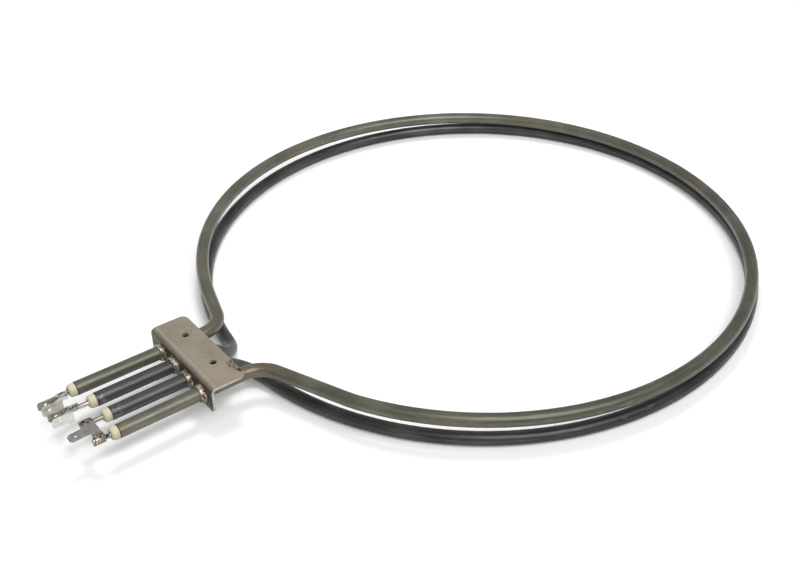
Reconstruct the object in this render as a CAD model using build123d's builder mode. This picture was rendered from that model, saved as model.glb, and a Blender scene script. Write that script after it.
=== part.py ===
from build123d import *
import os
from math import cos, radians, sin, tan

# Double-circuit tubular heating element: two ring-shaped sheathed heaters, one above the
# other, brazed side by side into one folded bracket, with their terminals outside it.
#
# The origin is the middle of the bracket's two mounting holes, on the plate's top face.
# +Y points to the rings, -Y along the legs, +X from leg 1 to leg 4, and +Z is up.
# Legs 1 and 4 are the ends of the upper sheath, legs 2 and 3 those of the lower one.

# ---- driving dimensions, in millimetres and degrees ----

# sheaths
tube_diameter = 8.0
tube_wall = 0.6
ring_radius = 175.0  # centreline of either ring
ring_gap = 37.5  # flange's outer face to the upper ring's near side, at its centreline
leg_pitch = 15.2
leg_offset = 1.5  # the legs' middle, from the middle of the mounting holes towards +X
leg_lengths = (52.5, 47.8, 46.5, 49.5)  # legs 1 to 4, out of the flange's outer face

# upper sheath: it climbs from the legs to its ring
upper_ring_rise = 2.9
upper_bend_radius = 17.0
upper_run_angles = (17.2, 19.5)  # straight runs to legs 1 and 4, from the flange's direction
upper_shoulder_angles = (76.4, 31.0)  # where the ring's arc ends, from the middle of its gap
upper_shoulder_tangents = (97.0, 8.0)

# lower sheath: it dives behind the bracket to a ring that leans towards the upper one
lower_ring_drop = 9.1  # at the lower ring's axis, below the legs
lower_ring_lean = 1.22
lower_ring_shift = 2.7  # its axis, further from the flange than the upper one's
lower_bend_radius = 17.0
lower_run_angles = (10.0, 10.0)
lower_shoulder_angles = (11.5, 11.5)
lower_shoulder_tangents = (4.0, 4.0)
dive_run = 17.6  # along Y, from the corner of the dive to that of the ring bend
dive_depth = 12.1  # corner of the ring bend, below the legs
dive_bend_radius = 14.0

# heating insides
coil_wire = 0.5
coil_play = 0.05  # the coils' bore over the pins', all round
pin_diameter = 2.7
pin_depth = 12.5  # inner end of each pin, behind the flange's outer face
pin_end_setback = 63.5  # outer end of each pin, out of the flange's outer face

# bracket
sheet = 1.5
plate_end_margin = 11.6  # past the outer legs' axes
plate_depth = 22.0
flange_height = 16.0
bend_inner_radius = 1.5
plate_corner_radius = 4.0
flange_corner_radius = 3.0
hole_spacing = 31.0
hole_diameter = 4.0
hole_setback = 12.9  # from the flange's outer face
leg_drop = 9.1  # legs' axes below the plate's top face

# brazed ferrules, ceramic beads and resin seals
ferrule_diameter = 10.0
ferrule_length = 2.2
ferrule_edge = 0.5
bead_diameter = 7.4
bead_length = 4.3
bead_edge_radius = 1.5
bead_spigot_length = 3.0
bead_clearance = 0.1
seal_length = 4.0

# terminal tabs
tab_sheet = 0.8
tab_width = 6.3
tab_corner = 1.0
tab_hole_diameter = 1.8
tab_hole_setback = 4.4
double_tab_length = 17.0
double_tab_neck = 5.0
double_tab_neck_width = 3.4
double_tab_spacing = 6.0
double_tab_web_length = 3.0
double_tab_bend_radius = 0.8
tab_end_setback = 74.8  # outer end of the double tabs, out of the flange's outer face
bridge_gap = 3.1  # from the nearest bead to the bridge's near edge
bridge_width = 6.4
bridge_tab_length = 10.1
bridge_curl_angle = 215.0
bridge_curl_play = 0.35  # the curls' inner radius over the pins'

# ---- derived places ----

tube_radius = tube_diameter / 2
bore_radius = tube_radius - tube_wall
pin_radius = pin_diameter / 2
coil_diameter = pin_diameter + 2 * (coil_play + coil_wire)
flange_y = -hole_setback
leg_z = -leg_drop
leg_x = [leg_offset + (number - 1.5) * leg_pitch for number in range(4)]
leg_end_y = [flange_y - length for length in leg_lengths]
pin_outer_y = flange_y - pin_end_setback
pin_inner_y = flange_y + pin_depth
ring_setback = ring_gap + ring_radius
plate_length = leg_x[3] - leg_x[0] + 2 * plate_end_margin
fill_setback = bead_spigot_length + seal_length

upper_ring_plane = Plane(
    origin=(leg_offset, flange_y + ring_setback, leg_z + upper_ring_rise)
)
lower_ring_plane = Plane(
    origin=(leg_offset, flange_y + ring_setback + lower_ring_shift, leg_z - lower_ring_drop),
    x_dir=(1, 0, 0),
    z_dir=(0, -sin(radians(lower_ring_lean)), cos(radians(lower_ring_lean))),
)


def rounded_corner(before, corner, after, radius=None, tangent=None):
    """The start, middle and end of the arc that rounds a corner of a route."""
    back = (before - corner).normalized()
    onward = (after - corner).normalized()
    half_angle = radians(back.get_angle(onward)) / 2
    if tangent is None:
        tangent = radius / tan(half_angle)
    else:
        radius = tangent * tan(half_angle)
    middle = (back + onward).normalized() * (tangent / cos(half_angle) - radius)
    return corner + back * tangent, corner + middle, corner + onward * tangent


def ring_end(side, ring_plane, shoulder_angle, shoulder_tangent):
    """Where a ring's arc ends on side 0 or 1, and the corner that its tangent leads to."""
    angle = radians(shoulder_angle)
    outwards = 2 * side - 1
    end_x = outwards * ring_radius * sin(angle)
    end_y = -ring_radius * cos(angle)
    corner_x = end_x - outwards * shoulder_tangent * cos(angle)
    corner_y = end_y - shoulder_tangent * sin(angle)
    end = ring_plane.from_local_coords(Vector(end_x, end_y, 0))
    return end, ring_plane.from_local_coords(Vector(corner_x, corner_y, 0))


def upper_corners(side, x, shoulder):
    """The corners of the upper sheath's route between a leg and its ring's shoulder."""
    run = abs(shoulder.X - x) * tan(radians(upper_run_angles[side]))
    bend = Vector(x, shoulder.Y - run, leg_z)
    return [(bend, upper_bend_radius)]


def lower_corners(side, x, shoulder):
    """The corners of the lower sheath's route between a leg and its ring's shoulder."""
    run = abs(shoulder.X - x) * tan(radians(lower_run_angles[side]))
    bend = Vector(x, shoulder.Y - run, leg_z - dive_depth)
    dive = Vector(x, bend.Y - dive_run, leg_z)
    return [(dive, dive_bend_radius), (bend, lower_bend_radius)]


def sheath_route(corners_of, ring_plane, shoulder_angles, shoulder_tangents, legs, tips_y):
    """The centreline of one sheath, between two places on its legs."""
    far_point = ring_plane.from_local_coords(Vector(0, ring_radius, 0))
    with BuildLine() as route:
        ends = []
        for side, leg in enumerate(legs):
            tangent = shoulder_tangents[side]
            ring_point, shoulder = ring_end(side, ring_plane, shoulder_angles[side], tangent)
            corners = corners_of(side, leg_x[leg], shoulder)
            place = Vector(leg_x[leg], tips_y[side], leg_z)
            points = [corner for corner, radius in corners] + [shoulder]
            before = place
            for (corner, radius), after in zip(corners, points[1:]):
                first, middle, last = rounded_corner(before, corner, after, radius=radius)
                Line(place, first)
                ThreePointArc(first, middle, last)
                before, place = corner, last
            first, middle, last = rounded_corner(before, shoulder, ring_point, tangent=tangent)
            Line(place, first)
            ThreePointArc(first, middle, last)
            ends.append(ring_point)
        ThreePointArc(ends[0], far_point, ends[1])
    return route.wires()[0]


def upper_route(*tips_y):
    return sheath_route(
        upper_corners,
        upper_ring_plane,
        upper_shoulder_angles,
        upper_shoulder_tangents,
        (0, 3),
        tips_y,
    )


def lower_route(*tips_y):
    return sheath_route(
        lower_corners,
        lower_ring_plane,
        lower_shoulder_angles,
        lower_shoulder_tangents,
        (1, 2),
        tips_y,
    )


def leg_plane(leg, y):
    """A plane across a leg, facing out of the flange."""
    return Plane(origin=(leg_x[leg], y, leg_z), x_dir=(1, 0, 0), z_dir=(0, -1, 0))


def save(part, name):
    part.label = name
    export_step(part, f"parts/{name}.step")


os.makedirs("parts", exist_ok=True)

# ---- mounting bracket: one folded sheet, with the legs' holes in its flange ----

plate_edge_y = flange_y + plate_depth
flange_inner_y = flange_y + sheet

with BuildPart() as mounting_bracket:
    with BuildSketch(Plane.YZ.offset(leg_x[0] - plate_end_margin)):
        with BuildLine():
            Polyline(
                (plate_edge_y, 0),
                (flange_y, 0),
                (flange_y, -flange_height),
                (flange_inner_y, -flange_height),
                (flange_inner_y, -sheet),
                (plate_edge_y, -sheet),
                close=True,
            )
        make_face()
    extrude(amount=plate_length)
    folds = mounting_bracket.edges().filter_by(Axis.X)
    outer_fold = folds.sort_by_distance((0, flange_y, 0))[0]
    inner_fold = folds.sort_by_distance((0, flange_inner_y, -sheet))[0]
    fillet(outer_fold, radius=bend_inner_radius + sheet)
    fillet(inner_fold, radius=bend_inner_radius)
    plate_corners = mounting_bracket.edges().filter_by(Axis.Z).group_by(Axis.Y)[-1]
    fillet(plate_corners, radius=plate_corner_radius)
    flange_corners = mounting_bracket.edges().filter_by(Axis.Y).group_by(Axis.Z)[0]
    fillet(flange_corners, radius=flange_corner_radius)
    with Locations((-hole_spacing / 2, 0, 0), (hole_spacing / 2, 0, 0)):
        Hole(radius=hole_diameter / 2, depth=sheet)
    for leg in range(4):
        with BuildSketch(leg_plane(leg, flange_y)):
            Circle(tube_radius)
        extrude(amount=-sheet, mode=Mode.SUBTRACT)
save(mounting_bracket.part, "mounting_bracket")

# ---- each circuit: sheath, magnesia filling and coil, along one route ----

circuits = (("upper", upper_route, (0, 3)), ("lower", lower_route, (1, 2)))

for name, route_between, legs in circuits:
    sheath_path = route_between(leg_end_y[legs[0]], leg_end_y[legs[1]])
    with BuildPart() as sheath:
        with BuildSketch(Plane(origin=sheath_path @ 0, z_dir=sheath_path % 0)):
            Circle(tube_radius)
            Circle(bore_radius, mode=Mode.SUBTRACT)
        sweep(path=sheath_path)
    save(sheath.part, f"{name}_sheath")

    coil_path = route_between(pin_inner_y, pin_inner_y)
    with BuildPart() as coil:
        with BuildSketch(Plane(origin=coil_path @ 0, z_dir=coil_path % 0)):
            Circle(coil_diameter / 2)
            Circle(coil_diameter / 2 - coil_wire, mode=Mode.SUBTRACT)
        sweep(path=coil_path)
    save(coil.part, f"{name}_coil")

    with BuildPart() as insulation:
        with BuildSketch(Plane(origin=coil_path @ 0, z_dir=coil_path % 0)):
            Circle(bore_radius)
            Circle(coil_diameter / 2, mode=Mode.SUBTRACT)
            Circle(coil_diameter / 2 - coil_wire)
        sweep(path=coil_path)
        for leg in legs:
            with BuildSketch(leg_plane(leg, pin_inner_y)):
                Circle(bore_radius)
                Circle(pin_radius, mode=Mode.SUBTRACT)
            extrude(amount=pin_inner_y - (leg_end_y[leg] + fill_setback))
    save(insulation.part, f"{name}_insulation")

# ---- on each leg: ferrule, resin seal, ceramic bead and terminal pin ----

for leg in range(4):
    with BuildPart() as ferrule:
        with BuildSketch(leg_plane(leg, flange_y)):
            Circle(ferrule_diameter / 2)
            Circle(tube_radius, mode=Mode.SUBTRACT)
        extrude(amount=ferrule_length)
        outer_rim = ferrule.faces().sort_by(Axis.Y)[0].outer_wire().edges()
        fillet(outer_rim, radius=ferrule_edge)
    save(ferrule.part, f"ferrule_{leg + 1}")

    with BuildPart() as end_seal:
        with BuildSketch(leg_plane(leg, leg_end_y[leg] + fill_setback)):
            Circle(bore_radius)
            Circle(pin_radius, mode=Mode.SUBTRACT)
        extrude(amount=seal_length)
    save(end_seal.part, f"end_seal_{leg + 1}")

    with BuildPart() as ceramic_bead:
        with BuildSketch(leg_plane(leg, leg_end_y[leg])):
            Circle(bead_diameter / 2)
        extrude(amount=bead_length)
        bead_nose = ceramic_bead.edges().sort_by(Axis.Y)[0]
        fillet(bead_nose, radius=bead_edge_radius)
        with BuildSketch(leg_plane(leg, leg_end_y[leg])):
            Circle(bore_radius - bead_clearance)
        extrude(amount=-bead_spigot_length)
        with BuildSketch(leg_plane(leg, leg_end_y[leg] + bead_spigot_length)):
            Circle(pin_radius)
        extrude(amount=bead_spigot_length + bead_length, mode=Mode.SUBTRACT)
    save(ceramic_bead.part, f"ceramic_bead_{leg + 1}")

    with BuildPart() as terminal_pin:
        with BuildSketch(leg_plane(leg, pin_inner_y)):
            Circle(pin_radius)
        extrude(amount=pin_inner_y - pin_outer_y)
    save(terminal_pin.part, f"terminal_pin_{leg + 1}")

# ---- double tabs: one folded sheet each, welded beside pin 1 and pin 2 ----

tab_tip_y = flange_y - tab_end_setback
front_blade_length = double_tab_length - double_tab_neck
fold_mid_radius = double_tab_bend_radius + tab_sheet / 2


def blade_blank(length):
    """A blade's outline from its tip inwards, its corners cut and its hole pierced."""
    with BuildSketch() as blank:
        Rectangle(length, tab_width, align=(Align.MIN, Align.CENTER))
        chamfer(blank.vertices().group_by(Axis.X)[0], length=tab_corner)
        with Locations((tab_hole_setback, 0)):
            Circle(tab_hole_diameter / 2, mode=Mode.SUBTRACT)
    return blank.sketch


def double_tab(leg, pin_side):
    """The rear blade lies against the pin's side, and the front one further towards +X."""
    rear_middle = leg_x[leg] + pin_side * (pin_radius + tab_sheet / 2)
    front_middle = rear_middle + double_tab_spacing
    web_z = leg_z - tab_width / 2 - fold_mid_radius
    with BuildPart() as tab:
        for blade_x in (rear_middle, front_middle):
            blade_plane = Plane(
                origin=(blade_x - tab_sheet / 2, tab_tip_y, leg_z),
                x_dir=(0, 1, 0),
                z_dir=(1, 0, 0),
            )
            with BuildSketch(blade_plane):
                add(blade_blank(front_blade_length))
                if blade_x == rear_middle:
                    with Locations((front_blade_length, 0)):
                        Rectangle(
                            double_tab_neck,
                            double_tab_neck_width,
                            align=(Align.MIN, Align.CENTER),
                        )
            extrude(amount=tab_sheet)
        with BuildSketch(Plane.XZ.offset(-(tab_tip_y + front_blade_length))):
            with BuildLine():
                web_left = rear_middle + fold_mid_radius
                web_right = front_middle - fold_mid_radius
                blade_foot = leg_z - tab_width / 2
                RadiusArc((rear_middle, blade_foot), (web_left, web_z), -fold_mid_radius)
                Line((web_left, web_z), (web_right, web_z))
                RadiusArc((web_right, web_z), (front_middle, blade_foot), -fold_mid_radius)
            trace(line_width=tab_sheet)
        extrude(amount=double_tab_web_length)
    return tab.part


for leg, pin_side in ((0, 1), (1, -1)):
    save(double_tab(leg, pin_side), f"double_tab_{leg + 1}")

# ---- bridge: one flat sheet, its ends curled round pins 3 and 4, with a tab between ----

curl_mid_radius = pin_radius + bridge_curl_play + tab_sheet / 2
curl_z = leg_z + bridge_curl_play
bridge_z = curl_z + curl_mid_radius
bridge_y = min(leg_end_y[2:]) - bead_length - bridge_gap
bridge_middle = (leg_x[2] + leg_x[3]) / 2
curl_end = radians(90 - bridge_curl_angle)
curl_middle = radians(90 - bridge_curl_angle / 2)

with BuildPart() as bridge_tab:
    with BuildSketch(Plane.XZ.offset(-bridge_y)):
        with BuildLine():
            for side, pin_x in ((-1, leg_x[2]), (1, leg_x[3])):
                ThreePointArc(
                    (pin_x, bridge_z),
                    (
                        pin_x + side * curl_mid_radius * cos(curl_middle),
                        curl_z + curl_mid_radius * sin(curl_middle),
                    ),
                    (
                        pin_x + side * curl_mid_radius * cos(curl_end),
                        curl_z + curl_mid_radius * sin(curl_end),
                    ),
                )
            Line((leg_x[2], bridge_z), (leg_x[3], bridge_z))
        trace(line_width=tab_sheet)
    extrude(amount=bridge_width)
    blade_top = Plane(
        origin=(bridge_middle, bridge_y - bridge_width - bridge_tab_length, bridge_z),
        x_dir=(0, 1, 0),
        z_dir=(0, 0, 1),
    )
    with BuildSketch(blade_top.offset(-tab_sheet / 2)):
        add(blade_blank(bridge_tab_length + bridge_width / 2))
    extrude(amount=tab_sheet)
save(bridge_tab.part, "bridge_tab")
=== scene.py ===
from math import cos, pi, radians, sin, tan

import bmesh
import bpy
from mathutils import Matrix, Vector


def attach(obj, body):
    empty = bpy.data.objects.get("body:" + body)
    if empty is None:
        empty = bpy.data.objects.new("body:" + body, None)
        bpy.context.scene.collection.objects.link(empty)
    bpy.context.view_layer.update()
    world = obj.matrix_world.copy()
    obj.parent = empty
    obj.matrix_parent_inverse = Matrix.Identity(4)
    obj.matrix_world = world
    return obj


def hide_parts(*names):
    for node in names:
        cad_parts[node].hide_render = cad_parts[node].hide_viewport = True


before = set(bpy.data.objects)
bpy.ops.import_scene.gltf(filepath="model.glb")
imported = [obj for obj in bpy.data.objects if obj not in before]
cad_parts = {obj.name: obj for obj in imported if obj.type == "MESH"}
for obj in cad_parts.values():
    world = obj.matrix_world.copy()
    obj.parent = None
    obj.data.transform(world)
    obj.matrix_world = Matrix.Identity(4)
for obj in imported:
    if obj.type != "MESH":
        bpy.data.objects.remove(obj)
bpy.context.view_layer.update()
mm = 0.001

# ---- mounting bracket ----
# One sheet of 1.5 mm stainless steel, pierced flat for two screws and four legs, then folded
# once. Handling and heat have turned it a warm grey, and rust has started at one corner.

leg_pitch = 15.2 * mm
leg_offset = 1.5 * mm
legs_below_plate = 9.1 * mm
flange_face = -12.9 * mm
leg_places = [
    Vector((leg_offset + (leg - 1.5) * leg_pitch, flange_face, -legs_below_plate)) for leg in range(4)
]
tube_radius = 4.0 * mm


def arc(centre, radius, start, end, steps):
    """Points along an arc in a flat pattern, from one angle to another, in degrees."""
    angles = [radians(start + (end - start) * step / steps) for step in range(steps + 1)]
    return [(centre[0] + radius * cos(a), centre[1] + radius * sin(a)) for a in angles]


def pierced(centre, radius, steps=32):
    """A round hole in a flat pattern."""
    return arc(centre, radius, 0, 360, steps)[:-1]


def finished_piece(name, draft):
    """The draft object with its modifiers applied, as one plain mesh at the origin."""
    bpy.context.view_layer.update()
    evaluated = draft.evaluated_get(bpy.context.evaluated_depsgraph_get())
    mesh = bpy.data.meshes.new_from_object(evaluated)
    mesh.name = name
    piece = bpy.data.objects.new(name, mesh)
    bpy.context.scene.collection.objects.link(piece)
    bpy.data.objects.remove(draft)
    return piece


def ease_edges(draft, width, segments=2, sharper_than=35):
    """Breaks a draft's sharp edges, and keeps its flat faces flat in the shading."""
    bevel = draft.modifiers.new("eased edges", "BEVEL")
    bevel.width = width
    bevel.segments = segments
    bevel.limit_method = "ANGLE"
    bevel.angle_limit = radians(sharper_than)
    draft.modifiers.new("flat faces", "WEIGHTED_NORMAL")


def folded_sheet(name, outline, holes, creases, sheet, fold, edge):
    """A pierced flat blank with rows of creases, given its thickness and folded by a rule."""
    blank = bmesh.new()
    for loop in [outline] + holes:
        corners = [blank.verts.new((across, along, 0)) for across, along in loop]
        for first, second in zip(corners, corners[1:] + corners[:1]):
            blank.edges.new((first, second))
    bmesh.ops.triangle_fill(blank, use_beauty=True, edges=blank.edges[:])
    for line, row in creases:
        direction = Vector((1, 0, 0)) if line == "across" else Vector((0, 1, 0))
        parts = blank.verts[:] + blank.edges[:] + blank.faces[:]
        bmesh.ops.bisect_plane(
            blank, geom=parts, dist=1e-7, plane_co=direction * row, plane_no=direction
        )
    back = bmesh.ops.extrude_face_region(blank, geom=blank.faces[:])
    for corner in back["geom"]:
        if isinstance(corner, bmesh.types.BMVert):
            corner.co.z = sheet
    middles = [sum((Vector(point) for point in hole), Vector((0, 0))) / len(hole) for hole in holes]
    reaches = [1.1 * (Vector(hole[0]) - middle).length for hole, middle in zip(holes, middles)]
    for face in blank.faces:
        place = face.calc_center_median()
        in_hole = any((place.xy - m).length < r for m, r in zip(middles, reaches))
        if 0.1 * sheet < place.z < 0.9 * sheet and not in_hole:
            face.material_index = 1
    for corner in blank.verts:
        corner.co = fold(corner.co.x, corner.co.y, corner.co.z)
    bmesh.ops.recalc_face_normals(blank, faces=blank.faces[:])
    mesh = bpy.data.meshes.new(name)
    blank.to_mesh(mesh)
    blank.free()
    mesh.shade_smooth()
    draft = bpy.data.objects.new(name + " draft", mesh)
    bpy.context.scene.collection.objects.link(draft)
    ease_edges(draft, edge)
    return finished_piece(name, draft)


def pattern(material, scale, detail=3.0, stretch=(1, 1, 1), attribute=None, roughness=0.5):
    """A noise pattern's value, on the piece's own coordinates, with repeats per metre."""
    nodes, links = material.node_tree.nodes, material.node_tree.links
    if attribute:
        place = nodes.new("ShaderNodeAttribute")
        place.attribute_name = attribute
        place = place.outputs["Vector"]
    else:
        place = nodes.new("ShaderNodeTexCoord").outputs["Object"]
    mapping = nodes.new("ShaderNodeMapping")
    mapping.inputs["Scale"].default_value = stretch
    links.new(place, mapping.inputs["Vector"])
    noise = nodes.new("ShaderNodeTexNoise")
    noise.inputs["Scale"].default_value = scale
    noise.inputs["Detail"].default_value = detail
    noise.inputs["Roughness"].default_value = roughness
    links.new(mapping.outputs["Vector"], noise.inputs["Vector"])
    return noise.outputs["Fac"]


def spread(material, value, low, high, to_low=0.0, to_high=1.0):
    """A value between two levels, spread over another range and held inside it."""
    node = material.node_tree.nodes.new("ShaderNodeMapRange")
    node.interpolation_type = "SMOOTHSTEP"
    material.node_tree.links.new(value, node.inputs["Value"])
    node.inputs["From Min"].default_value = low
    node.inputs["From Max"].default_value = high
    node.inputs["To Min"].default_value = to_low
    node.inputs["To Max"].default_value = to_high
    return node.outputs["Result"]


def product(material, first, second):
    """Two values multiplied."""
    node = material.node_tree.nodes.new("ShaderNodeMath")
    node.operation = "MULTIPLY"
    for value, socket in ((first, node.inputs[0]), (second, node.inputs[1])):
        if isinstance(value, float):
            socket.default_value = value
        else:
            material.node_tree.links.new(value, socket)
    return node.outputs[0]


def blend(material, share, first, second):
    """A colour between two colours, which may themselves be patterns."""
    node = material.node_tree.nodes.new("ShaderNodeMix")
    node.data_type = "RGBA"
    material.node_tree.links.new(share, node.inputs["Factor"])
    for colour, socket in ((first, node.inputs[6]), (second, node.inputs[7])):
        if isinstance(colour, tuple):
            socket.default_value = colour + (1.0,)
        else:
            material.node_tree.links.new(colour, socket)
    return node.outputs[2]


def near(material, place, inner, outer, stretch=(1, 1, 1)):
    """One near a place on the object, falling to nothing from an inner to an outer reach."""
    nodes, links = material.node_tree.nodes, material.node_tree.links
    mapping = nodes.new("ShaderNodeMapping")
    mapping.vector_type = "POINT"
    mapping.inputs["Scale"].default_value = stretch
    mapping.inputs["Location"].default_value = [-p * s for p, s in zip(place, stretch)]
    links.new(nodes.new("ShaderNodeTexCoord").outputs["Object"], mapping.inputs["Vector"])
    length = nodes.new("ShaderNodeVectorMath")
    length.operation = "LENGTH"
    links.new(mapping.outputs["Vector"], length.inputs[0])
    return spread(material, length.outputs["Value"], inner, outer, 1.0, 0.0)


def tinted(material, colour, share, strength, tint):
    """A colour turned towards a tint over a share of the piece, by a number or a pattern."""
    return blend(material, product(material, share, strength), colour, tint)


def surface(material, metallic, colour, roughness, bump=None, bump_depth=0.02 * mm):
    """Joins a colour, a roughness and a relief into one finish."""
    shader = material.node_tree.nodes["Principled BSDF"]
    links = material.node_tree.links
    shader.inputs["Metallic"].default_value = metallic
    links.new(colour, shader.inputs["Base Color"])
    links.new(roughness, shader.inputs["Roughness"])
    if bump:
        relief = material.node_tree.nodes.new("ShaderNodeBump")
        relief.inputs["Distance"].default_value = bump_depth
        relief.inputs["Strength"].default_value = 1.0
        links.new(bump, relief.inputs["Height"])
        links.new(relief.outputs["Normal"], shader.inputs["Normal"])
    return material


def new_finish(name):
    """An empty finish under its own name."""
    material = bpy.data.materials.new(name)
    material.use_nodes = True
    return material


plate_margin = 11.6 * mm
plate_end_left = leg_places[0].x - plate_margin
plate_end_right = leg_places[3].x + plate_margin
plate_depth = 22.0 * mm
flange_height = 16.0 * mm
bracket_sheet = 1.5 * mm
fold_radius = 3.0 * mm
plate_edge = flange_face + plate_depth
fold_start = plate_depth - fold_radius
fold_end = fold_start + fold_radius * pi / 2
flange_end = fold_end + flange_height - fold_radius


def fold_bracket(across, along, depth):
    """Along is measured over the outer face, from the plate's free edge to the flange's."""
    if along <= fold_start:
        return Vector((across, plate_edge - along, -depth))
    if along >= fold_end:
        return Vector((across, flange_face + depth, -fold_radius - (along - fold_end)))
    turn = (along - fold_start) / fold_radius
    reach = fold_radius - depth
    y = flange_face + fold_radius - reach * sin(turn)
    return Vector((across, y, -fold_radius + reach * cos(turn)))


plate_corner = 4.0 * mm
flange_corner = 3.0 * mm
bracket_outline = (
    arc((plate_end_left + plate_corner, plate_corner), plate_corner, 180, 270, 8)
    + arc((plate_end_right - plate_corner, plate_corner), plate_corner, 270, 360, 8)
    + arc((plate_end_right - flange_corner, flange_end - flange_corner), flange_corner, 0, 90, 8)
    + arc((plate_end_left + flange_corner, flange_end - flange_corner), flange_corner, 90, 180, 8)
)
screw_reach = 15.5 * mm
screw_hole_radius = 2.0 * mm
screw_holes = [
    pierced((side * screw_reach, plate_edge), screw_hole_radius) for side in (-1, 1)
]
leg_hole_row = fold_end + legs_below_plate - fold_radius
leg_hole_radius = tube_radius + 0.05 * mm
leg_holes = [pierced((place.x, leg_hole_row), leg_hole_radius) for place in leg_places]
fold_rows = [("along", fold_start + (fold_end - fold_start) * step / 10) for step in range(11)]
bracket = folded_sheet(
    "bracket",
    bracket_outline,
    screw_holes + leg_holes,
    fold_rows,
    bracket_sheet,
    fold_bracket,
    edge=0.18 * mm,
)


def scratch(material, start, end, half_width):
    """One on a straight scratch between two places on the plate."""
    nodes, links = material.node_tree.nodes, material.node_tree.links
    run = Vector(end) - Vector(start)
    mapping = nodes.new("ShaderNodeMapping")
    mapping.vector_type = "TEXTURE"
    mapping.inputs["Location"].default_value = (Vector(start) + Vector(end)) / 2
    mapping.inputs["Rotation"].default_value = (0, 0, run.to_2d().angle_signed(Vector((1, 0))))
    mapping.inputs["Scale"].default_value = (run.length / 2, half_width, 1)
    links.new(nodes.new("ShaderNodeTexCoord").outputs["Object"], mapping.inputs["Vector"])
    length = nodes.new("ShaderNodeVectorMath")
    length.operation = "LENGTH"
    links.new(mapping.outputs["Vector"], length.inputs[0])
    return spread(material, length.outputs["Value"], 0.4, 1.0, 1.0, 0.0)


def bracket_steel():
    """Handled steel, pocked and clouded, with a painted highlight on its rubbed fold, painted
    shade and a brown stain on the flange between the legs, and rust and scorch along one end
    of the plate."""
    finish = new_finish("handled bracket steel")
    mottle = spread(finish, pattern(finish, 60, 4.0), 0.35, 0.65)
    colour = blend(finish, mottle, (0.365, 0.322, 0.248), (0.425, 0.383, 0.302))
    handled = near(finish, (30 * mm, -2 * mm, 0), 4 * mm, 22 * mm)
    colour = tinted(finish, colour, handled, 0.5, (0.47, 0.395, 0.285))
    pocks = spread(finish, pattern(finish, 330, 6.0), 0.60, 0.76)
    colour = tinted(finish, colour, pocks, 0.45, (0.20, 0.155, 0.105))
    clouds = spread(finish, pattern(finish, 260, 4.0), 0.45, 0.65)
    left_screw = near(finish, (-18 * mm, 4.5 * mm, 0), 2 * mm, 9 * mm)
    brown = product(finish, clouds, left_screw)
    colour = tinted(finish, colour, brown, 0.4, (0.20, 0.150, 0.100))
    fold_line = flange_face + fold_radius
    # Painted highlight along the start of the fold, where the steel is also rubbed bright.
    rubbed_fold_highlight = near(finish, (0, fold_line, 0), 0.05 * mm, 0.75 * mm, (0, 1, 0))
    colour = tinted(finish, colour, rubbed_fold_highlight, 0.6, (0.60, 0.55, 0.44))
    # Painted shade with a brown stain, across the flange's face at the legs' height.
    flange_shade_and_stain = near(
        finish, (0, flange_face - 1.5 * mm, -8.0 * mm), 4.2 * mm, 8.8 * mm, (0.02, 1, 0.85)
    )
    flange_shade_clouds = spread(finish, pattern(finish, 170, 4.0), 0.25, 0.55, 0.68, 0.98)
    colour = tinted(finish, colour, flange_shade_and_stain, flange_shade_clouds, (0.062, 0.044, 0.029))
    rust_row = near(finish, (24.0 * mm, 7.2 * mm, 0), 1.2 * mm, 2.6 * mm, (0.42, 0.8, 1))
    colour = tinted(finish, colour, rust_row, 0.25, (0.29, 0.20, 0.125))
    rust_spots = spread(finish, pattern(finish, 820, 3.0), 0.47, 0.54)
    colour = tinted(finish, colour, rust_row, rust_spots, (0.085, 0.045, 0.026))
    stain = near(finish, (27.5 * mm, 5.5 * mm, 0), 1.0 * mm, 5.5 * mm)
    colour = tinted(finish, colour, stain, 0.35, (0.42, 0.28, 0.16))
    scorch = near(finish, (29.9 * mm, 7.9 * mm, 0), 0.9 * mm, 2.1 * mm, (0.8, 1, 1))
    scorch_clouds = spread(finish, pattern(finish, 700, 3.0), 0.36, 0.50)
    colour = tinted(finish, colour, scorch, scorch_clouds, (0.050, 0.038, 0.028))
    for start, end in (
        ((4.6 * mm, 2.2 * mm, 0), (10.4 * mm, 4.4 * mm, 0)),
        ((6.4 * mm, 1.2 * mm, 0), (11.6 * mm, 3.0 * mm, 0)),
    ):
        line = scratch(finish, start, end, 0.26 * mm)
        colour = tinted(finish, colour, line, 0.7, (0.16, 0.125, 0.09))
    grain = pattern(finish, 900, 5.0, (0.08, 1, 1))
    roughness = spread(finish, grain, 0.3, 0.7, 0.36, 0.5)
    return surface(finish, 0.45, colour, roughness, grain, 0.010 * mm)


def cut_bracket_edge():
    """The brighter steel of the sheet's sheared rim."""
    finish = new_finish("cut bracket edge")
    cut_lines = spread(finish, pattern(finish, 1100, 4.0), 0.35, 0.65)
    colour = blend(finish, cut_lines, (0.44, 0.41, 0.34), (0.66, 0.63, 0.55))
    roughness = spread(finish, cut_lines, 0, 1, 0.32, 0.48)
    return surface(finish, 0.5, colour, roughness, cut_lines, 0.02 * mm)


bracket.data.materials.append(bracket_steel())
bracket.data.materials.append(cut_bracket_edge())
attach(bracket, "root")
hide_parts("mounting_bracket")

# ---- sheathed heaters ----
# Two tubes of 8 mm stainless steel, each bent into a ring with its two legs side by side.
# Running hot has left the upper one a grey olive and the lower one a dark graphite.

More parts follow.
